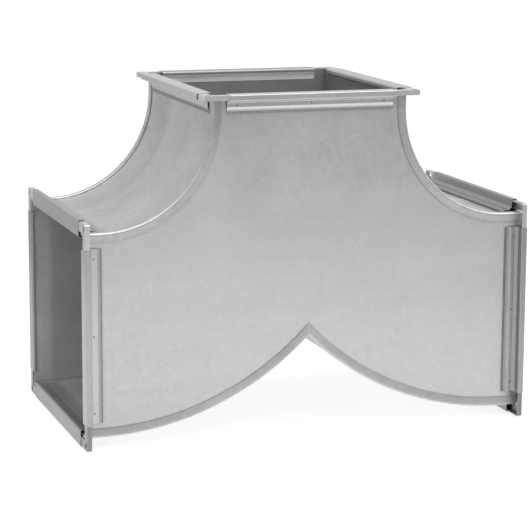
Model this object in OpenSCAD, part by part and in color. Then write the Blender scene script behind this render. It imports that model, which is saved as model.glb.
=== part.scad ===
// Rectangular duct branch of galvanised sheet steel: one opening on top parts into
// a left and a right opening through two curved legs, like a pair of trousers.
// Origin: middle of the footprint, on the plane that the two side flanges stand on.
// X runs from the left opening to the right one, -Y is the front, Z is up.

/* [Duct] */
// Clear width of the top opening, left to right
top_w = 300; // [200:10:400]
// Clear height of each side opening
side_h = 300; // [200:10:400]
// Clear depth of all three openings, front to back
duct_d = 350; // [200:10:500]
// Outside radius of the two throat sheets, above the legs
throat_r = 170; // [100:5:250]
// Outside radius of the two heel sheets, below the legs
heel_r = 450; // [410:5:600]
// Thickness of the duct sheet
sheet_t = 0.8; // [0.6:0.1:1.2]

/* [Lock seams] */
// Depth of the folded pocket that takes the edge of a cheek
lock_w = 10; // [8:0.5:14]
// Width of the lip hammered over the face of a cheek
lip_l = 13.5; // [8:0.5:16]
// Height that the hammered lip stands off the cheek at the duct's corner
lip_rise = 2; // [0.5:0.5:3]
// Height that the free edge of the lip stands off the cheek
lip_lift = 0.5; // [0:0.25:1]
// Air between the layers of a folded seam
seam_gap = 0.1; // [0.05:0.05:0.2]
// Height of the standing seam where the two heel sheets meet
crotch_l = 12; // [8:1:20]

/* [Flange rails] */
// Height of a flange above the outside of the duct
flange_h = 20; // [17:1:30]
// Length of a hollow rail's box, along the duct
rail_box = 9.5; // [8:0.5:12]
// Length of a rail's leg from the flange face, along the duct
rail_leg = 29; // [27:1:40]
// Reach of a rail's round inner edge below the outside of the duct
rail_reach = 5.5; // [5:0.5:8]
// Thickness of the rail sheet
rail_t = 0.8; // [0.6:0.1:1]
// Distance from the duct's corner to the end of a rail
rail_back = 20; // [15:1:30]
// Straight duct left between a rail's leg and the start of a curve
collar_spare = 1; // [1:1:40]
// Distance from the flange face to the cut edge of the duct
edge_back = 2; // [1:0.5:3]
// Diameter of a pressed dimple that fixes a rail
dimple_d = 5; // [4:0.5:5.5]
// Distance from the end of a rail to its outer dimples
dimple_in = 15; // [8:1:40]

/* [Flange corners] */
// Length of each arm of a corner piece, from the corner of the flange
corner_l = 80; // [60:5:100]
// Thickness of a corner piece
corner_t = 2; // [1.5:0.5:3]
// Diameter of the bolt hole in a corner piece
bolt_d = 9; // [7:0.5:10]
// Distance of the bolt hole from the outside of the duct, both ways
bolt_n = 11; // [10.5:0.5:12]

/* [Hidden] */

// Smoothness of round shapes, and of one bend in a folded section
$fn = 96;
bend_steps = 5;

// Colours of bare zinc: side plates, wrapped sheets, rails and corner pieces
cheek_tone = [0.74, 0.75, 0.76];
wrap_tone = [0.68, 0.69, 0.71];
rail_tone = [0.62, 0.64, 0.66];
corner_tone = [0.55, 0.57, 0.60];

// Outside sizes of the duct at its three ends
top_ow = top_w + 2 * sheet_t;
side_oh = side_h + 2 * sheet_t;
duct_od = duct_d + 2 * sheet_t;

// Straight length behind each flange face
collar = rail_leg + collar_spare;

// Centres of the curves: the same X for both, then the height of each
curve_x = top_ow / 2 + throat_r;
throat_z = flange_h + side_oh + throat_r;
heel_z = flange_h + heel_r;

// Faces of the flanges, and the cut edges of the duct behind them
side_x = curve_x + collar;
top_z = throat_z + collar;
edge_x = side_x - edge_back;
edge_z = top_z - edge_back;
side_mid_z = flange_h + side_oh / 2;

// Angle that a heel curve covers; the part beyond the middle is cut off
heel_overrun = 2;
heel_angle = asin(curve_x / heel_r) + heel_overrun;
// Height of the crotch, where the two heel curves meet
crotch_z = heel_z - sqrt(heel_r * heel_r - curve_x * curve_x);

// Lock seam: levels of its layers above the outside of the wrapped sheet
layer_step = sheet_t + seam_gap;
sheet_mid = -sheet_t / 2;
return_mid = sheet_mid + layer_step;
edge_mid = return_mid + layer_step;
cover_mid = edge_mid + layer_step;
// Inner plane of a cheek, the middle of its sheet and the middle of the lip on it
cheek_in = duct_d / 2;
cheek_mid = cheek_in + sheet_t / 2;
lip_mid = cheek_mid + layer_step;
// Bend of a cheek's turned edge; the lip slopes down and bends wider, to clear it
edge_bend = sheet_t;
lip_slope = atan((lip_rise - lip_lift) / (lip_l - sheet_t / 2));
lip_bend = (edge_bend + layer_step + lip_rise) / tan(45 + lip_slope / 2);
// Bends of a fold laid back on itself, with a little flat left between the two
fold_flat = 0.03;
fold_bend = layer_step / 2 - fold_flat;
// The turned edge stops short of the bottom of its pocket
edge_l = lock_w - 2 * layer_step;
// Share of the crotch seam that the folded-over sheet hangs down
hook_share = 0.6;

// Rail section: sloped back, raised leg with a pressed groove, small flare at its tip
back_share = 0.4;
back_n = back_share * flange_h;
leg_rise = 2.8;
slope_l = 3.5;
leg_root = rail_box + slope_l;
tip_l = 1.7;
foot_l = 1.5;
foot_a = rail_leg - tip_l - foot_l;
groove_l = 6.3;
groove_a = foot_a - groove_l;
tip_n = 1.5;
inner_leg_a = 18;
bulb_a = 7.5;
bulb_l = 2.5;
bulb_r = 2.5;
rail_bend = 1.2;
// A dimple: its middle, the thickness of its cup, and how far the cup runs into the leg
dimple_a = (leg_root + groove_a) / 2;
dimple_wall = 0.8;
dimple_top = leg_rise + rail_t / 4;

// Corner piece: it fills the rail from just under its outer edge
corner_fit = 0.9;
corner_out = flange_h - rail_t - corner_fit;
corner_in = max(cover_mid + sheet_t / 2, layer_step + lip_rise) + corner_fit;
corner_round = 3;
rim_fit = 0.3;
rim_depth = rail_box - 2 * rail_t - rim_fit;
stiffener_depth = 2.5;
stiffener_from = 26;

// Spare length of a cut, and a size beyond the whole duct
cut_spare = 1;
far = 1000;

// Folded sheet sections

function left_of(d) = [-d[1], d[0]];
function turned(d, a) = [d[0] * cos(a) - d[1] * sin(a), d[0] * sin(a) + d[1] * cos(a)];
function heading(p, q) = [q[0] - p[0], q[1] - p[1]] / norm([q[0] - p[0], q[1] - p[1]]);
function turn_angle(d, e) = atan2(d[0] * e[1] - d[1] * e[0], d[0] * e[0] + d[1] * e[1]);

// One bend of radius p[2] at point p, seen s to the left of the middle of the sheet
function bend(p, d, e, s) =
    let (a = turn_angle(d, e))
    let (hand = sign(a))
    let (start = [p[0], p[1]] - p[2] * tan(abs(a) / 2) * d)
    let (centre = start + hand * p[2] * left_of(d))
    [
        for (k = [0 : bend_steps])
            centre - (hand * p[2] - s) * left_of(turned(d, a * k / bend_steps))
    ];

// The whole line, s to the left of the middle of the sheet
function side_line(path, s) =
    let (n = len(path) - 1)
    [
        for (i = [0 : n])
            each (
                i == 0 ? [[path[0][0], path[0][1]] + s * left_of(heading(path[0], path[1]))]
                : i == n ? [[path[n][0], path[n][1]] + s * left_of(heading(path[n - 1], path[n]))]
                : bend(path[i], heading(path[i - 1], path[i]), heading(path[i], path[i + 1]), s)
            )
    ];

function backwards(list) = [for (i = [len(list) - 1 : -1 : 0]) list[i]];

// Section of a sheet of thickness t folded along path, a list of [x, y, bend radius]
module folded(path, t) {
    polygon(concat(side_line(path, t / 2), backwards(side_line(path, -t / 2))));
}

// One edge of a wrapped sheet, from the hammered lip to the flat of the sheet.
// First number: height above the outside of the sheet. Second: distance from the middle.
lock_edge = [
    [cover_mid + sheet_t / 2 - lip_l, lip_mid + lip_lift, 0],
    [cover_mid, lip_mid + lip_rise, lip_bend],
    [cover_mid, cheek_in - lock_w, layer_step],
    [return_mid, cheek_in - lock_w, layer_step],
    [return_mid, cheek_in - sheet_t / 2, fold_bend],
    [sheet_mid, cheek_in - sheet_t / 2, fold_bend]
];

function other_edge(path) = [for (p = backwards(path)) [p[0], -p[1], p[2]]];

// A wrapped sheet with a lock pocket and lip along both edges
module wrap_section() {
    folded(concat(lock_edge, other_edge(lock_edge)), sheet_t);
}

// The turned edge of a cheek, with a strip of the flat plate behind it
module edge_section() {
    folded(
        [
            [-lip_l, cheek_mid, 0],
            [edge_mid, cheek_mid, edge_bend],
            [edge_mid, cheek_in - edge_l, 0]
        ],
        sheet_t
    );
}

// Carries a section round the right throat: top collar, curve, side collar
module along_throat() {
    translate([top_ow / 2, 0, edge_z])
        rotate([180, 0, 0])
            linear_extrude(height = edge_z - throat_z)
                children();
    translate([curve_x, 0, throat_z])
        rotate([90, 0, 0])
            rotate([0, 0, 180])
                rotate_extrude(angle = 90, $fn = 180)
                    translate([throat_r, 0])
                        mirror([1, 0])
                            children();
    translate([curve_x, 0, flange_h + side_oh])
        rotate(a = 180, v = [1, 0, 1])
            linear_extrude(height = edge_x - curve_x)
                children();
}

// Carries a section round the right heel: side collar, then the curve to the middle
module along_heel() {
    translate([edge_x, 0, flange_h])
        rotate(a = 180, v = [1, 0, -1])
            linear_extrude(height = edge_x - curve_x)
                children();
    difference() {
        translate([curve_x, 0, heel_z])
            mirror([1, 0, 0])
                rotate([90, 0, 0])
                    rotate([0, 0, 270])
                        rotate_extrude(angle = heel_angle, $fn = 360)
                            translate([heel_r, 0])
                                children();
        translate([-far, -far / 2, 0])
            cube([far, far, far]);
    }
}

// Side plates

// Side view of the duct, drawn up to u outside its wrapped sheets
module side_view(u) {
    difference() {
        translate([-edge_x, flange_h - u])
            square([2 * edge_x, edge_z - flange_h + u]);
        for (s = [-1, 1]) scale([s, 1]) {
            translate([curve_x, flange_h + side_oh + u])
                square([far, far]);
            translate([top_ow / 2 + u, throat_z])
                square([far, far]);
            translate([curve_x, throat_z])
                circle(r = throat_r - u, $fn = 720);
            difference() {
                square([curve_x, heel_z]);
                translate([curve_x, heel_z])
                    circle(r = heel_r + u, $fn = 1440);
            }
        }
    }
}

module front_plate() {
    color(cheek_tone) {
        translate([0, -cheek_in, 0])
            rotate([90, 0, 0])
                linear_extrude(height = sheet_t)
                    side_view(-lip_l / 2);
        for (s = [0, 1]) mirror([s, 0, 0]) {
            along_throat() edge_section();
            along_heel() edge_section();
        }
    }
}

module cheek_front() {
    front_plate();
}

module cheek_rear() {
    mirror([0, 1, 0]) front_plate();
}

// Wrapped sheets

module throat_right() {
    color(wrap_tone)
        along_throat() wrap_section();
}

module throat_left() {
    mirror([1, 0, 0]) throat_right();
}

// Plain flange of a heel sheet, standing up inside the duct at the crotch
module crotch_flange(height) {
    foot_z = crotch_z + sheet_t / 2;
    translate([0, -cheek_in, foot_z])
        cube([sheet_t, duct_d, crotch_z + height - foot_z]);
}

module heel_right() {
    color(wrap_tone) {
        along_heel() wrap_section();
        crotch_flange(crotch_l);
    }
}

// The left heel's flange folds over the right one's
module heel_left() {
    hook_x = sheet_t + seam_gap;
    hook_z = crotch_z + crotch_l + seam_gap;
    hook_l = hook_share * crotch_l;
    color(wrap_tone) {
        mirror([1, 0, 0]) {
            along_heel() wrap_section();
            crotch_flange(crotch_l + seam_gap + sheet_t);
        }
        translate([-sheet_t, -cheek_in, hook_z])
            cube([hook_x + 2 * sheet_t, duct_d, sheet_t]);
        translate([hook_x, -cheek_in, hook_z + sheet_t - hook_l])
            cube([sheet_t, duct_d, hook_l]);
    }
}

// Flange rails

// First number: height above the outside of the duct. Second: depth behind the face.
rail_path = [
    [tip_n, -rail_leg, 0],
    [rail_t / 2, -(foot_a + foot_l), rail_bend],
    [rail_t / 2, -foot_a, rail_bend],
    [leg_rise, -groove_a, rail_bend],
    [leg_rise, -leg_root, rail_bend],
    [back_n, -(rail_box - rail_t / 2), rail_bend],
    [flange_h - rail_t / 2, -(rail_box - rail_t / 2), rail_bend],
    [flange_h - rail_t / 2, -rail_t / 2, rail_bend],
    [rail_t / 2 - rail_reach, -rail_t / 2, bulb_r],
    [rail_t / 2 - rail_reach, -bulb_a, rail_bend],
    [-sheet_t - rail_t / 2, -(bulb_a + bulb_l), rail_bend],
    [-sheet_t - rail_t / 2, -inner_leg_a, 0]
];

// Rail of one length along Y, on the +X wall of a duct that comes up to Z = 0
module rail(length) {
    dimples = [-(length / 2 - dimple_in), 0, length / 2 - dimple_in];
    color(rail_tone)
        difference() {
            union() {
                rotate([90, 0, 0])
                    linear_extrude(height = length, center = true)
                        folded(rail_path, rail_t);
                for (y = dimples)
                    translate([0, y, -dimple_a])
                        rotate([0, 90, 0])
                            cylinder(d = dimple_d, h = dimple_top);
            }
            for (y = dimples)
                translate([dimple_wall, y, -dimple_a])
                    rotate([0, 90, 0])
                        cylinder(d = dimple_d - 2 * dimple_wall, h = leg_rise + rail_t);
        }
}

// Flange corners

// An L whose outer edges lie n_out, and inner edges n_in, outside the duct's corner
module corner_shape(n_in, n_out) {
    reach = corner_l - flange_h;
    difference() {
        union() {
            translate([-reach, -reach])
                square([reach + n_out - corner_round, reach + n_out]);
            translate([-reach, -reach])
                square([reach + n_out, reach + n_out - corner_round]);
            translate([n_out - corner_round, n_out - corner_round])
                circle(r = corner_round);
        }
        translate([-far, -far])
            square([far + n_in, far + n_in]);
    }
}

// Corner piece at the corner (0, 0) of a duct that comes up to Z = 0
module corner_piece() {
    color(corner_tone)
        difference() {
            union() {
                translate([0, 0, -rail_t - corner_t])
                    linear_extrude(height = corner_t)
                        corner_shape(corner_in, corner_out);
                translate([0, 0, -rail_t - rim_depth])
                    linear_extrude(height = rim_depth)
                        corner_shape(corner_out - corner_t, corner_out);
                translate([0, 0, -rail_t - corner_t - stiffener_depth])
                    linear_extrude(height = corner_t + stiffener_depth)
                        difference() {
                            corner_shape(corner_in, corner_in + corner_t);
                            translate([flange_h - stiffener_from, flange_h - stiffener_from])
                                square([far, far]);
                        }
            }
            translate([bolt_n, bolt_n, -rail_box])
                cylinder(d = bolt_d, h = rail_box + cut_spare);
        }
}

// Places of the flanges: X and Y across the opening, Z out of the duct

module at_top() {
    translate([0, 0, top_z])
        children();
}

module at_left() {
    translate([-side_x, 0, side_mid_z])
        rotate([0, -90, 0])
            children();
}

module at_right() {
    mirror([1, 0, 0]) at_left() children();
}

// Rail on the +X or -X wall (s = 1 or -1) of an opening that is w wide outside
module rail_across(w, s) {
    rotate([0, 0, s > 0 ? 0 : 180])
        translate([w / 2, 0, 0])
            rail(duct_od - 2 * rail_back);
}

// Rail on the front wall (s = -1) or rear wall (s = 1)
module rail_along(w, s) {
    rotate([0, 0, s * 90])
        translate([duct_od / 2, 0, 0])
            rail(w - 2 * rail_back);
}

module corner_at(w, sx, sy) {
    mirror([sx < 0 ? 1 : 0, 0, 0])
        mirror([0, sy < 0 ? 1 : 0, 0])
            translate([w / 2, duct_od / 2, 0])
                corner_piece();
}

module top_rail_front() { at_top() rail_along(top_ow, -1); }
module top_rail_rear() { at_top() rail_along(top_ow, 1); }
module top_rail_left() { at_top() rail_across(top_ow, -1); }
module top_rail_right() { at_top() rail_across(top_ow, 1); }

module left_rail_front() { at_left() rail_along(side_oh, -1); }
module left_rail_rear() { at_left() rail_along(side_oh, 1); }
module left_rail_top() { at_left() rail_across(side_oh, 1); }
module left_rail_bottom() { at_left() rail_across(side_oh, -1); }

module right_rail_front() { at_right() rail_along(side_oh, -1); }
module right_rail_rear() { at_right() rail_along(side_oh, 1); }
module right_rail_top() { at_right() rail_across(side_oh, 1); }
module right_rail_bottom() { at_right() rail_across(side_oh, -1); }

module top_corner_front_left() { at_top() corner_at(top_ow, -1, -1); }
module top_corner_front_right() { at_top() corner_at(top_ow, 1, -1); }
module top_corner_rear_left() { at_top() corner_at(top_ow, -1, 1); }
module top_corner_rear_right() { at_top() corner_at(top_ow, 1, 1); }

module left_corner_front_top() { at_left() corner_at(side_oh, 1, -1); }
module left_corner_front_bottom() { at_left() corner_at(side_oh, -1, -1); }
module left_corner_rear_top() { at_left() corner_at(side_oh, 1, 1); }
module left_corner_rear_bottom() { at_left() corner_at(side_oh, -1, 1); }

module right_corner_front_top() { at_right() corner_at(side_oh, 1, -1); }
module right_corner_front_bottom() { at_right() corner_at(side_oh, -1, -1); }
module right_corner_rear_top() { at_right() corner_at(side_oh, 1, 1); }
module right_corner_rear_bottom() { at_right() corner_at(side_oh, -1, 1); }

cheek_front();
cheek_rear();
throat_left();
throat_right();
heel_left();
heel_right();
top_rail_front();
top_rail_rear();
top_rail_left();
top_rail_right();
left_rail_front();
left_rail_rear();
left_rail_top();
left_rail_bottom();
right_rail_front();
right_rail_rear();
right_rail_top();
right_rail_bottom();
top_corner_front_left();
top_corner_front_right();
top_corner_rear_left();
top_corner_rear_right();
left_corner_front_top();
left_corner_front_bottom();
left_corner_rear_top();
left_corner_rear_bottom();
right_corner_front_top();
right_corner_front_bottom();
right_corner_rear_top();
right_corner_rear_bottom();
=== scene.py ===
"""Studio view of a rectangular duct branch of galvanised sheet steel."""

import math

import bpy
from mathutils import Matrix, Vector

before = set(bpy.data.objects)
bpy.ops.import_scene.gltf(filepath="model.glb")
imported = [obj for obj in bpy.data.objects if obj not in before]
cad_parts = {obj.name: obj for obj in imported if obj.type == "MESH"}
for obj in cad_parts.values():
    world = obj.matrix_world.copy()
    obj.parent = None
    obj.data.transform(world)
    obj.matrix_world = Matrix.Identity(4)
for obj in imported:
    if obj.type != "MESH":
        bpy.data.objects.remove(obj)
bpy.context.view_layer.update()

MM = 0.001

# Camera: where it stands in metres, its angles in degrees, its lens and sensor in millimetres,
# and how far it sees in metres
CAMERA_PLACE = (-1.0493, -3.1199, 0.8501)
CAMERA_AZIMUTH = -18.41
CAMERA_ELEVATION = 10.44
CAMERA_ROLL = 0.28
CAMERA_LENS = 143.09
SENSOR_WIDTH = 36.0
CAMERA_REACH = 100.0

# Lamps: place, width and height in metres, and power in watts. They point at the object's middle
LAMPS = {
    "overhead": ((0.35, -0.8, 2.5), 3.0, 3.0, 42),
    "front": ((-0.6, -2.8, 1.6), 2.0, 1.2, 4),
    "left": ((-2.6, -1.2, 1.5), 1.6, 1.6, 1.0),
}
OBJECT_MIDDLE = Vector((0.0, 0.0, 0.25))

# Floor: its level, half its width, the colour that the lamps light, and the white added where it
# is seen or mirrored
FLOOR_LEVEL = -0.5 * MM
FLOOR_HALF = 12.0
FLOOR_COLOUR = 0.42
FLOOR_WHITE = 0.81
FLOOR_MIRRORED = 1.24

# Mirrored floor, in metres from the object's middle: a disc that is duller under the object and
# past its rim, less to the right and behind, with a pale corner and a pale strip further back
DISC_CORE = (0.4, 1.0)
DISC_CORE_SHARE = 0.70
DISC_RIM = (1.32, 1.85)
DISC_PAST_SHARE = 0.15
DISC_RIGHT = (0.45, 0.9)
DISC_RIGHT_SHARE = 0.5
DISC_BEHIND = (0.0, 1.0)
DISC_BEHIND_SHARE = 0.6
CORNER_EDGE = (0.3, 0.6)
CORNER_SHARE = 1.2
STRIP_NEAR = (2.0, 2.5)
STRIP_FAR = (3.8, 4.3)
STRIP_RIGHT = (-1.0, -0.5)

# Room: the light it gives, and what is mirrored of it in each direction: grey in front, paler
# behind, dull low on the right, and white high up and above the foot of the right wall
ROOM_LIGHT = 0.5
ROOM_FRONT = 0.30
ROOM_BACK = 0.74
ROOM_DEPTH = (-0.2, 0.6)
ROOM_RIGHT = (0.45, 0.85)
ROOM_RIGHT_SHARE = 0.25
CEILING_EDGE = (0.45, 0.75)
RIGHT_WALL_EDGE = (0.5, 0.8)
RIGHT_WALL_FOOT = (0.0, 0.15)

# Zinc: how metallic it is, its tint, and how far each pattern moves its tone
METAL = 0.70
TINT = (1.0, 1.0, 1.004)
CRYSTAL_SHIFT = 0.012
LINE_SHIFT = 0.007
BAND_SHIFT = 0.012
CLOUD_SHIFT = 0.028
SPECK_SHIFT = 0.010

# Patterns: the warp of the crystals as shares of their size, the width and length of rolling
# lines and bands, how many finer layers each noise has, and the part of its range that is used
WARP_CYCLES = 1.5
WARP_REACH = 0.4
WARP_LAYERS = 2.0
LINE_SIZE = (2.5 * MM, 400 * MM)
LINE_LAYERS = 4.0
BAND_SIZE = (30 * MM, 900 * MM)
BAND_LAYERS = 2.0
NOISE_RANGE = (0.3, 0.7)
WHOLE_RANGE = (0.0, 1.0)

# Cycles per metre and finer layers of the other patterns, and how rough the clouds' layers are
CLOUDS = (9.0, 4.0, 0.6)
SPECKS = (420.0, 2.0)
WAVES = (5.0, 1.0)

# Worn edges, lightened as wear and as a painted highlight: their radius, how far the normal turns
# there, and how much lighter they are
EDGE_RADIUS = 1.2 * MM
EDGE_TURN = (0.75, 0.98)
EDGE_WEAR_AND_HIGHLIGHT = 0.18
EDGE_SAMPLES = 4
FOLD_SAMPLES = 6

# Roughness: how far clouds and crystals move it, and what the mask of dirt and painted shade adds
# and wear takes
CLOUD_ROUGH = 0.05
CRYSTAL_ROUGH = 0.04
DIRT_ROUGH = 0.15
WORN_SMOOTH = 0.10

# Relief: strength and height of the grain, the rolling lines' share in it, how far the crystals
# tilt, and the middle of the random colours that tilt them
GRAIN_STRENGTH = 0.35
GRAIN_HEIGHT = 0.012 * MM
GRAIN_LINES = 0.4
CRYSTAL_TILT = 0.012
MIDDLE_COLOUR = (0.5, 0.5, 0.5)

# Looks of the sheets, rails and corner pieces. Grime-and-shade holds how far a fold shades, the
# openness where its dirt and painted shade are full, the openness where they end, and their
# strength
FINE_GRIME_AND_SHADE = (2.5 * MM, 0.15, 0.75, 0.14)
SIDE_LOOK = {"tone": 0.62, "roughness": 0.42, "across": "Z", "crystal": 6 * MM,
             "wave": 0.5 * MM, "mottle": 1.1, "grime_and_shade": (5 * MM, 0.45, 0.97, 0.36)}
WRAP_LOOK = {"tone": 0.58, "roughness": 0.45, "across": "Y", "crystal": 6 * MM,
             "wave": 0.6 * MM, "mottle": 2.4, "grime_and_shade": (4 * MM, 0.35, 0.92, 0.40)}
RAIL_LOOK = {"roughness": 0.36, "crystal": 5 * MM, "wave": 0.1 * MM, "mottle": 1.0,
             "grime_and_shade": FINE_GRIME_AND_SHADE}
CORNER_LOOK = {"roughness": 0.34, "across": "XYZ", "crystal": 4 * MM, "wave": 0.05 * MM,
               "mottle": 1.0, "grime_and_shade": FINE_GRIME_AND_SHADE}

# Tone of the corner pieces, by flange and by the end of the flange that they hold: lit and shaded
# copies of one zinc, the bottom ones darkened by painted shade
CORNER_LIT_TONES = {"left_top": 0.66, "left_bottom": 0.30, "right_top": 0.62, "right_bottom": 0.25,
                "top_left": 0.72, "top_right": 0.72}

# Tone of each rail, set per rail as lit and shaded copies of one zinc, and how much painted light
# and shade on its leg, its foot and its inner leg scale it
RAIL_LIT_TONES = {
    "top_rail_front": (0.64, 1.05, 0.62, 1.0),
    "top_rail_rear": (0.38, 1.00, 0.62, 2.4),
    "top_rail_left": (0.64, 1.05, 0.45, 0.9),
    "top_rail_right": (0.56, 1.00, 0.62, 0.6),
    "left_rail_front": (0.47, 1.30, 0.88, 1.0),
    "left_rail_rear": (0.34, 1.15, 0.70, 2.1),
    "left_rail_top": (0.42, 1.15, 0.70, 0.9),
    "left_rail_bottom": (0.33, 1.15, 0.70, 0.9),
    "right_rail_front": (0.39, 1.05, 0.80, 1.0),
    "right_rail_rear": (0.39, 0.95, 0.80, 1.0),
    "right_rail_top": (0.39, 0.95, 0.52, 1.0),
    "right_rail_bottom": (0.39, 0.95, 0.70, 1.0),
}

# Rails: where the leg begins and where its foot does, measured from the flange's face, how far
# inside the rail's outer edge its inner leg begins, where the round edge ends, and how much
# less metallic a lit inner leg is
LEG_START = (9.5 * MM, 15.5 * MM)
FOOT_START = (22.5 * MM, 24.0 * MM)
INNER_START = (20.2 * MM, 20.6 * MM)
BULB_END = (5.0 * MM, 8.0 * MM)
INNER_METAL_LOSS = 0.35

# Axis and sign of each side that a flange or a wall is named after
OUTWARD = {"front": ("Y", -1), "rear": ("Y", 1), "left": ("X", -1), "right": ("X", 1),
           "top": ("Z", 1), "bottom": ("Z", -1)}

# Neck: the height at which the sheets come to face each other below the top flange
NECK_HEIGHT = (0.40, 0.47)

# Hammered lips of the wrapped sheets, by distance from the middle plane: their free edge, their
# corner, and where their tone begins. Painted shade darkens them towards the free edge
LIP_EDGE = 0.1771
LIP_CORNER = 0.1786
LIP_BEGIN = (LIP_EDGE - 0.6 * MM, LIP_EDGE - 0.2 * MM)
LIP_FACING = (0.85, 0.98)
LIP_SHADE = -0.17
LIP_CORNER_SHARE = 0.45

# Bend at the lips' corner, by how far it faces the front or the rear: a painted highlight
BEND_BEGIN = (LIP_EDGE - 0.6 * MM, LIP_EDGE)
BEND_IN = (0.15, 0.40)
BEND_OUT = (0.82, 0.94)
BEND_HIGHLIGHT = 0.30

# Lock pockets: their side keeps little of the dirt and painted shade, and their step, which faces
# the middle, is painted lighter
POCKET_SIDE = (0.155, 0.163)
POCKET_DIRT_AND_SHADE = 0.15
STEP_FACING = (-0.14, -0.08)
STEP_PAINTED_LIGHT = 0.65

# Ends of the wrapped sheets beside the side flanges, and their faces inside the neck: both darkened
# by painted shade
WRAP_END = (0.306, 0.321)
WRAP_END_SIDE = (0.165, 0.172)
WRAP_END_SHADE = -0.35
WRAP_INSIDE_FACING = (-0.10, -0.06)
WRAP_INSIDE_SHADE = -0.35

# Inside of the side plates, with painted light and shade: its share of the tone, the painted light
# that the lower collars add, and the neck's share of painted shade
SIDE_FACING = (-0.05, 0.05)
SIDE_INSIDE_SHADE = 0.86
COLLAR_START = (0.314, 0.324)
COLLAR_HEIGHT = (0.27, 0.31)
COLLAR_PAINTED_LIGHT = 0.30
COLLAR_TOP_SHARE = 0.2
SIDE_NECK_SHADE = 0.72


class Graph:
    """A node tree that is built by short calls."""

    def __init__(self, tree):
        self.tree = tree
        tree.nodes.clear()

    def node(self, kind, **settings):
        """Adds a node with its settings."""
        made = self.tree.nodes.new(kind)
        for name, value in settings.items():
            setattr(made, name, value)
        return made

    def feed(self, socket, value):
        """Links a socket, or writes a number or a colour on it."""
        if isinstance(value, bpy.types.NodeSocket):
            self.tree.links.new(value, socket)
        else:
            socket.default_value = value

    def math(self, operation, a, b=0.0, clamp=False):
        """One sum on numbers."""
        made = self.node("ShaderNodeMath", operation=operation, use_clamp=clamp)
        self.feed(made.inputs[0], a)
        self.feed(made.inputs[1], b)
        return made.outputs[0]

    def product(self, first, *others):
        """All the factors multiplied."""
        for factor in others:
            first = self.math("MULTIPLY", first, factor)
        return first

    def shifted(self, value, share):
        """A value raised by a share of itself, or lowered where the share is negative."""
        return self.product(value, self.math("ADD", 1.0, share))

    def mix(self, first, second, share):
        """Goes from the first value to the second as the share goes from 0 to 1."""
        return self.math("ADD", first, self.product(share, self.math("SUBTRACT", second, first)))

    def vector(self, operation, a, b=None, scale=None):
        """One sum on vectors."""
        made = self.node("ShaderNodeVectorMath", operation=operation)
        self.feed(made.inputs[0], a)
        if b is not None:
            self.feed(made.inputs[1], b)
        if scale is not None:
            self.feed(made.inputs["Scale"], scale)
        return made.outputs[0]

    def number(self, operation, a, b=None):
        """A sum on vectors that gives a number."""
        return self.vector(operation, a, b).node.outputs["Value"]

    def split(self, vector):
        """The X, Y and Z of a vector."""
        made = self.node("ShaderNodeSeparateXYZ")
        self.feed(made.inputs[0], vector)
        return made.outputs

    def span(self, value, reach, first=0.0, last=1.0):
        """Goes from first to last while a value crosses a range, and stops at both ends."""
        made = self.node("ShaderNodeMapRange")
        for socket, item in zip(made.inputs, (value, *reach, first, last)):
            self.feed(socket, item)
        return made.outputs[0]

    def noise(self, place, scale, layers, roughness=0.5):
        """Smooth noise with a number of finer layers."""
        made = self.node("ShaderNodeTexNoise")
        self.feed(made.inputs["Vector"], place)
        self.feed(made.inputs["Scale"], scale)
        self.feed(made.inputs["Detail"], layers)
        self.feed(made.inputs["Roughness"], roughness)
        return made.outputs["Fac"]

    def bump(self, height, strength, distance, normal=None):
        """A normal that is tilted by a height."""
        made = self.node("ShaderNodeBump")
        self.feed(made.inputs["Height"], height)
        self.feed(made.inputs["Strength"], strength)
        self.feed(made.inputs["Distance"], distance)
        if normal is not None:
            self.feed(made.inputs["Normal"], normal)
        return made.outputs[0]


def new_material(name):
    """An empty material and its graph."""
    material = bpy.data.materials.new(name)
    material.use_nodes = True
    return material, Graph(material.node_tree)


# Galvanised sheet


def stretched(graph, place, across, thin, long):
    """Coordinates for streaks: fine along the axes in across, drawn out along the rest."""
    scales = tuple(1.0 / (thin if axis in across else long) for axis in "XYZ")
    return graph.vector("MULTIPLY", place, scales)


def inward(graph, axes, thing, side):
    """How far a point lies inside the outermost face of a thing on one side."""
    axis, sign = OUTWARD[side]
    far = max(sign * corner["XYZ".index(axis)] for corner in thing.bound_box)
    return graph.math("SUBTRACT", far, graph.product(axes[axis], sign))


def wrap_tone(graph, value, axes, facing):
    """Tone of a wrapped sheet, with painted shade and highlights: lips, lock pockets, ends and the
    inside of the neck.
    """
    lift = graph.math("ABSOLUTE", axes["Y"])
    turned = graph.math("ABSOLUTE", facing["Y"])
    # Painted shade on the lips, darkest at their free edge
    lip_shade = graph.product(graph.span(lift, LIP_BEGIN),
                        graph.span(lift, (LIP_EDGE, LIP_CORNER), 1.0, LIP_CORNER_SHARE),
                        graph.span(turned, LIP_FACING))
    value = graph.shifted(value, graph.product(lip_shade, LIP_SHADE))
    # Painted highlight along the lips' bent corner
    bend_highlight = graph.product(graph.span(turned, BEND_IN), graph.span(turned, BEND_OUT, 1.0, 0.0),
                         graph.span(lift, BEND_BEGIN))
    value = graph.shifted(value, graph.product(bend_highlight, BEND_HIGHLIGHT))
    # Painted light on the pockets' steps
    value = graph.shifted(value, graph.span(
        graph.product(axes["Y"], facing["Y"]), STEP_FACING, STEP_PAINTED_LIGHT, 0.0))
    # Painted shade beside the rails' feet and inside the neck
    value = graph.shifted(value, graph.product(
        graph.span(graph.math("ABSOLUTE", axes["X"]), WRAP_END, 0.0, WRAP_END_SHADE),
        graph.span(lift, WRAP_END_SIDE, 1.0, 0.0)))
    return graph.shifted(value, graph.product(
        graph.span(graph.product(axes["X"], facing["X"]),
                   WRAP_INSIDE_FACING, WRAP_INSIDE_SHADE, 0.0),
        graph.span(axes["Z"], NECK_HEIGHT)))


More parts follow.
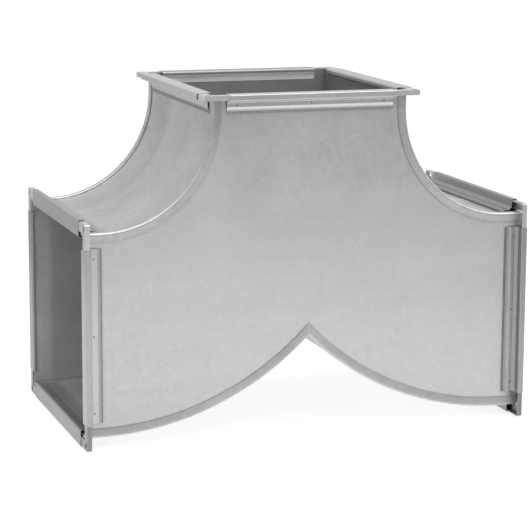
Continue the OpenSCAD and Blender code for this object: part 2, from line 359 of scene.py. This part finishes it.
def side_tone(graph, value, axes, facing):
    """Tone of a side plate: darkened inside by painted shade, with painted light beside the side
    flanges.
    """
    inside = graph.span(graph.product(axes["Y"], facing["Y"]), SIDE_FACING, 1.0, 0.0)
    collar_light = graph.product(
        graph.span(graph.math("ABSOLUTE", axes["X"]), COLLAR_START, 0.0, COLLAR_PAINTED_LIGHT),
        graph.span(axes["Z"], COLLAR_HEIGHT, 1.0, COLLAR_TOP_SHARE))
    share = graph.product(graph.math("ADD", collar_light, SIDE_INSIDE_SHADE),
                          graph.span(axes["Z"], NECK_HEIGHT, 1.0, SIDE_NECK_SHADE))
    return graph.product(value, graph.mix(1.0, share, inside))


def rail_tone(graph, value, axes, thing, leg_shading, foot_shade, inner_light):
    """Tone of a rail by its parts with painted light and shade, and a mask of its inner leg."""
    flange, _, wall = thing.name.split("_")
    depth = inward(graph, axes, thing, flange)
    width = inward(graph, axes, thing, wall)
    # Painted light and shade on the leg and the foot, and painted light on the inner leg
    outer = graph.product(graph.span(depth, LEG_START, 1.0, leg_shading),
                          graph.span(depth, FOOT_START, 1.0, foot_shade / leg_shading))
    inside = graph.product(graph.span(width, INNER_START), graph.span(depth, BULB_END))
    return graph.product(value, graph.mix(outer, inner_light, inside)), inside


def zinc(name, tone, roughness, across, crystal, wave, mottle, grime_and_shade, rail=None):
    """Galvanised steel: crystals, rolling lines, stains, worn edges with a painted highlight, folds
    with dirt and painted shade, and painted light and shade by part.

    across names the axes across the rolling lines, crystal and wave are lengths in metres, and
    mottle widens the tones of crystals, lines, bands, clouds and specks. rail holds a rail's
    object and the three shares of painted light and shade by which its leg, its foot and its inner
    leg scale the tone.
    """
    material, graph = new_material(name)
    place = graph.node("ShaderNodeTexCoord").outputs["Object"]
    geometry = graph.node("ShaderNodeNewGeometry")
    axes = graph.split(place)
    facing = graph.split(geometry.outputs["Normal"])

    # Crystals of the zinc: each has its own tone and a slightly tilted face
    warp = graph.product(graph.noise(place, WARP_CYCLES / crystal, WARP_LAYERS),
                         WARP_REACH * crystal)
    cells = graph.node("ShaderNodeTexVoronoi", feature="F1")
    graph.feed(cells.inputs["Vector"], graph.vector(
        "ADD", place, graph.vector("SCALE", (1.0, 1.0, 1.0), scale=warp)))
    graph.feed(cells.inputs["Scale"], 1.0 / crystal)
    chances = graph.node("ShaderNodeSeparateColor")
    graph.feed(chances.inputs[0], cells.outputs["Color"])

    # Rolling lines, a few long stains, clouds and specks
    lines = graph.noise(stretched(graph, place, across, *LINE_SIZE), 1.0, LINE_LAYERS)
    bands = graph.noise(stretched(graph, place, across, *BAND_SIZE), 1.0, BAND_LAYERS)
    clouds = graph.noise(place, *CLOUDS)
    specks = graph.noise(place, *SPECKS)

    # Worn edges are bright, as wear and as a painted highlight, and dirt and painted shade darken
    # the folds
    rounded = graph.node("ShaderNodeBevel", samples=EDGE_SAMPLES)
    graph.feed(rounded.inputs["Radius"], EDGE_RADIUS)
    edge = graph.number("DOT_PRODUCT", rounded.outputs[0], geometry.outputs["True Normal"])
    worn_and_glint = graph.span(edge, EDGE_TURN, 1.0, 0.0)
    reach, full_openness, end_openness, strength = grime_and_shade
    fold = graph.node("ShaderNodeAmbientOcclusion", samples=FOLD_SAMPLES)
    graph.feed(fold.inputs["Distance"], reach)
    dirt_and_shade = graph.span(fold.outputs["AO"], (full_openness, end_openness), 1.0, 0.0)
    if across == "Y":
        lift = graph.math("ABSOLUTE", axes["Y"])
        dirt_and_shade = graph.product(dirt_and_shade, graph.span(lift, POCKET_SIDE, 1.0, POCKET_DIRT_AND_SHADE))

    value, metal = tone, METAL
    for pattern, span, shift in ((chances.outputs[0], WHOLE_RANGE, CRYSTAL_SHIFT),
                                 (lines, NOISE_RANGE, LINE_SHIFT),
                                 (bands, NOISE_RANGE, BAND_SHIFT),
                                 (clouds, NOISE_RANGE, CLOUD_SHIFT),
                                 (specks, NOISE_RANGE, SPECK_SHIFT)):
        value = graph.math("ADD", value, graph.span(
            pattern, span, -shift * mottle, shift * mottle))
    # Edges lightened by wear and by a painted highlight
    value = graph.math("ADD", value, graph.product(worn_and_glint, EDGE_WEAR_AND_HIGHLIGHT))
    if across == "Y":
        value = wrap_tone(graph, value, axes, facing)
    if across == "Z":
        value = side_tone(graph, value, axes, facing)
    if rail:
        value, inside = rail_tone(graph, value, axes, *rail)
        if rail[-1] > 1.0:
            metal = graph.math("SUBTRACT", metal, graph.product(inside, INNER_METAL_LOSS))
    # Folds darkened by dirt and by painted shade
    value = graph.shifted(value, graph.product(dirt_and_shade, -strength))
    colour = graph.node("ShaderNodeCombineColor")
    for socket, share in zip(colour.inputs, TINT):
        graph.feed(socket, graph.product(value, share))

    rough = graph.math("ADD", roughness, graph.span(
        clouds, NOISE_RANGE, -CLOUD_ROUGH, CLOUD_ROUGH))
    rough = graph.math("ADD", rough, graph.span(
        chances.outputs[1], WHOLE_RANGE, -CRYSTAL_ROUGH, CRYSTAL_ROUGH))
    rough = graph.math("ADD", rough, graph.product(dirt_and_shade, DIRT_ROUGH))
    rough = graph.math("SUBTRACT", rough, graph.product(worn_and_glint, WORN_SMOOTH), clamp=True)

    # Relief: waves left by rolling and folding, then the fine grain and the crystals' tilt
    waves = graph.bump(graph.noise(place, *WAVES), 1.0, wave)
    grain = graph.bump(graph.math("ADD", graph.product(lines, GRAIN_LINES), specks),
                       GRAIN_STRENGTH, GRAIN_HEIGHT, waves)
    tilt = graph.vector("SCALE", graph.vector(
        "SUBTRACT", cells.outputs["Color"], MIDDLE_COLOUR), scale=CRYSTAL_TILT)

    shader = graph.node("ShaderNodeBsdfPrincipled")
    graph.feed(shader.inputs["Base Color"], colour.outputs[0])
    graph.feed(shader.inputs["Metallic"], metal)
    graph.feed(shader.inputs["Roughness"], rough)
    graph.feed(shader.inputs["Normal"], graph.vector(
        "NORMALIZE", graph.vector("ADD", grain, tilt)))
    output = graph.node("ShaderNodeOutputMaterial")
    graph.feed(output.inputs["Surface"], shader.outputs[0])
    return material


def rail_section(node):
    """The two axes across a flange rail."""
    flange, _, wall = node.split("_")
    if wall in ("front", "rear"):
        return "YZ" if flange == "top" else "XY"
    return "XZ"


def find_look(node, thing):
    """Name and look of a CAD node's zinc."""
    if node.startswith("cheek"):
        return "side_zinc", SIDE_LOOK
    if node.startswith(("throat", "heel")):
        return "wrap_zinc", WRAP_LOOK
    if "_rail_" in node:
        tone, *light_shares = RAIL_LIT_TONES[node]
        return f"{node}_zinc", {**RAIL_LOOK, "tone": tone, "across": rail_section(node),
                                "rail": (thing, *light_shares)}
    flange, _, _, end = node.split("_")
    tone = CORNER_LIT_TONES[f"{flange}_{end}"]
    return f"corner_zinc_{flange}_{end}", {**CORNER_LOOK, "tone": tone}


def dress(nodes):
    """Gives every CAD node its zinc; pieces whose look has one name share one material."""
    made = {}
    for node, thing in nodes.items():
        name, look = find_look(node, thing)
        if name not in made:
            made[name] = zinc(name, **look)
        for slot in thing.material_slots:
            slot.link = "OBJECT"
            slot.material = made[name]


# Studio


def ray_masks(graph):
    """Masks of the camera's rays, and of the rays of gloss and glass."""
    rays = graph.node("ShaderNodeLightPath")
    gloss = graph.math("MAXIMUM", rays.outputs["Is Glossy Ray"],
                       rays.outputs["Is Transmission Ray"])
    return rays.outputs["Is Camera Ray"], gloss


def mirrored_floor(graph):
    """How bright the floor is where it is mirrored."""
    place = graph.node("ShaderNodeTexCoord").outputs["Object"]
    axes = graph.split(place)
    reach = graph.number("LENGTH", place)
    disc = graph.product(graph.span(reach, DISC_RIM, 1.0, DISC_PAST_SHARE),
                         graph.span(reach, DISC_CORE, DISC_CORE_SHARE, 1.0),
                         graph.product(graph.span(axes["X"], DISC_RIGHT, 1.0, DISC_RIGHT_SHARE),
                                       graph.span(axes["Y"], DISC_BEHIND, 1.0, DISC_BEHIND_SHARE)))
    strip = graph.product(graph.span(axes["Y"], STRIP_NEAR),
                          graph.span(axes["Y"], STRIP_FAR, 1.0, 0.0),
                          graph.span(axes["X"], STRIP_RIGHT, 1.0, 0.0))
    corner = graph.product(graph.span(axes["X"], CORNER_EDGE, 0.0, CORNER_SHARE),
                           graph.span(axes["Y"], CORNER_EDGE))
    lit = graph.math("MAXIMUM", disc, graph.math("MAXIMUM", corner, strip))
    return graph.product(lit, FLOOR_MIRRORED)


def make_floor():
    """A white table that keeps the object's soft shadow."""
    mesh = bpy.data.meshes.new("floor")
    corners = [(-FLOOR_HALF, -FLOOR_HALF), (FLOOR_HALF, -FLOOR_HALF),
               (FLOOR_HALF, FLOOR_HALF), (-FLOOR_HALF, FLOOR_HALF)]
    mesh.from_pydata([(x, y, FLOOR_LEVEL) for x, y in corners], [], [(0, 1, 2, 3)])
    floor = bpy.data.objects.new("floor", mesh)
    bpy.context.scene.collection.objects.link(floor)

    material, graph = new_material("white_table")
    matt = graph.node("ShaderNodeBsdfDiffuse")
    graph.feed(matt.inputs["Color"], (FLOOR_COLOUR, FLOOR_COLOUR, FLOOR_COLOUR, 1.0))
    seen, gloss = ray_masks(graph)
    white = graph.node("ShaderNodeEmission")
    graph.feed(white.inputs["Strength"], graph.math(
        "ADD", graph.product(seen, FLOOR_WHITE), graph.product(gloss, mirrored_floor(graph))))
    both = graph.node("ShaderNodeAddShader")
    graph.feed(both.inputs[0], matt.outputs[0])
    graph.feed(both.inputs[1], white.outputs[0])
    output = graph.node("ShaderNodeOutputMaterial")
    graph.feed(output.inputs["Surface"], both.outputs[0])
    mesh.materials.append(material)


def make_world():
    """White where it is seen; a grey room with a pale back wall where it is mirrored."""
    world = bpy.data.worlds.new("studio")
    bpy.context.scene.world = world
    world.use_nodes = True
    graph = Graph(world.node_tree)
    axes = graph.split(graph.node("ShaderNodeTexCoord").outputs["Generated"])
    walls = graph.product(graph.span(axes["Y"], ROOM_DEPTH, ROOM_FRONT, ROOM_BACK),
                          graph.span(axes["X"], ROOM_RIGHT, 1.0, ROOM_RIGHT_SHARE))
    walls = graph.math("MAXIMUM", walls, graph.span(axes["Z"], CEILING_EDGE))
    walls = graph.math("MAXIMUM", walls, graph.product(
        graph.span(axes["X"], RIGHT_WALL_EDGE), graph.span(axes["Z"], RIGHT_WALL_FOOT)))
    seen, gloss = ray_masks(graph)
    background = graph.node("ShaderNodeBackground")
    graph.feed(background.inputs["Color"], (1.0, 1.0, 1.0, 1.0))
    graph.feed(background.inputs["Strength"], graph.math(
        "MAXIMUM", seen, graph.mix(ROOM_LIGHT, walls, gloss)))
    output = graph.node("ShaderNodeOutputWorld")
    graph.feed(output.inputs["Surface"], background.outputs[0])


def make_lamp(name, place, width, height, power):
    """A rectangular lamp that points at the object's middle."""
    data = bpy.data.lights.new(name, "AREA")
    data.shape = "RECTANGLE"
    data.size = width
    data.size_y = height
    data.energy = power
    lamp = bpy.data.objects.new(name, data)
    lamp.location = place
    lamp.rotation_mode = "QUATERNION"
    lamp.rotation_quaternion = (OBJECT_MIDDLE - Vector(place)).to_track_quat("-Z", "Y")
    bpy.context.scene.collection.objects.link(lamp)


def make_camera():
    """The camera, turned, tipped and rolled where it stands."""
    data = bpy.data.cameras.new("camera")
    data.sensor_width = SENSOR_WIDTH
    data.lens = CAMERA_LENS
    data.clip_end = CAMERA_REACH
    camera = bpy.data.objects.new("camera", data)
    turn = Matrix.Rotation(math.radians(CAMERA_AZIMUTH), 4, "Z")
    tip = Matrix.Rotation(math.radians(90.0 - CAMERA_ELEVATION), 4, "X")
    roll = Matrix.Rotation(math.radians(CAMERA_ROLL), 4, "Z")
    camera.matrix_world = Matrix.Translation(CAMERA_PLACE) @ turn @ tip @ roll
    bpy.context.scene.collection.objects.link(camera)
    bpy.context.scene.camera = camera


make_camera()
make_floor()
make_world()
for lamp_name, lamp_settings in LAMPS.items():
    make_lamp(lamp_name, *lamp_settings)
bpy.context.scene.view_settings.view_transform = "Standard"

dress(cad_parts)
